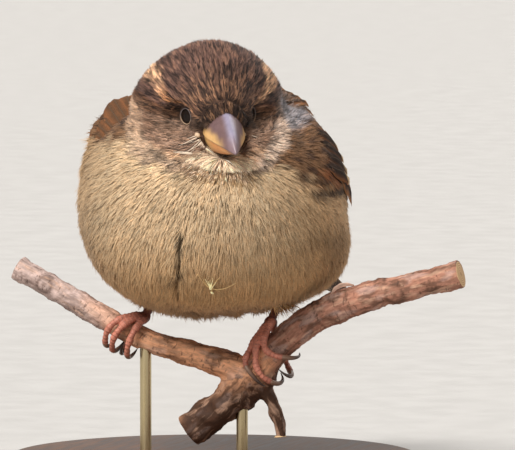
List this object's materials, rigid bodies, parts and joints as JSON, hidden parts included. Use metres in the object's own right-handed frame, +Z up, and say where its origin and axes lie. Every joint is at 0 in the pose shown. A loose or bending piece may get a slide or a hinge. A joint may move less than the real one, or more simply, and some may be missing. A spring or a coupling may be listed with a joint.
{
  "type": "bird model",
  "caption": "Life-size still model of a fluffed-up small brown songbird gripping a forked perch, held over a round wooden display base by slim metal rods",
  "frame": {"origin": "centre of the flat underside of the round stand base", "axes": "+Z up out of the base, the bird's breast faces -Y and its tail runs out along +Y, +X is the bird's left side"},
  "size_m": [0.1035, 0.1351, 0.0992],
  "materials": {
    "plumage_head": "grey-brown head feathers, matt",
    "plumage_body": "buff-brown body feathers, matt and soft",
    "plumage_wing": "dark brown wing feathers with rufous and buff edges",
    "plumage_tail": "dark brown tail feathers with paler edges",
    "bill_upper": "horn, lilac-grey above and yellowish at the gape, satin",
    "bill_lower": "horn, orange-yellow, satin",
    "eye": "near-black, wet gloss",
    "leg_skin": "scaly red-brown skin",
    "claw": "dark horn",
    "bark": "thin rough red-brown bark",
    "stand_wood": "dark stained and waxed",
    "stand_metal": "brushed"
  },
  "bodies": {
    "root": {"bill_lower": "bill_lower", "bill_upper": "bill_upper", "claw_hind_left": "claw", "claw_hind_right": "claw", "claw_inner_left": "claw", "claw_inner_right": "claw", "claw_middle_left": "claw", "claw_middle_right": "claw", "claw_outer_left": "claw", "claw_outer_right": "claw", "eye_left": "eye", "eye_right": "eye", "foot_left": "leg_skin", "foot_right": "leg_skin", "head": "plumage_head", "neck": "plumage_body", "perch_branch": "bark", "rump": "plumage_body", "stand_base": "stand_wood", "stand_rod_a": "stand_metal", "stand_rod_b": "stand_metal", "tail": "plumage_tail", "tarsus_left": "leg_skin", "tarsus_right": "leg_skin", "trunk": "plumage_body", "wing_left_coverts": "plumage_wing", "wing_left_primaries": "plumage_wing", "wing_left_secondaries": "plumage_wing", "wing_right_coverts": "plumage_wing", "wing_right_primaries": "plumage_wing", "wing_right_secondaries": "plumage_wing"}
  },
  "joints": []
}
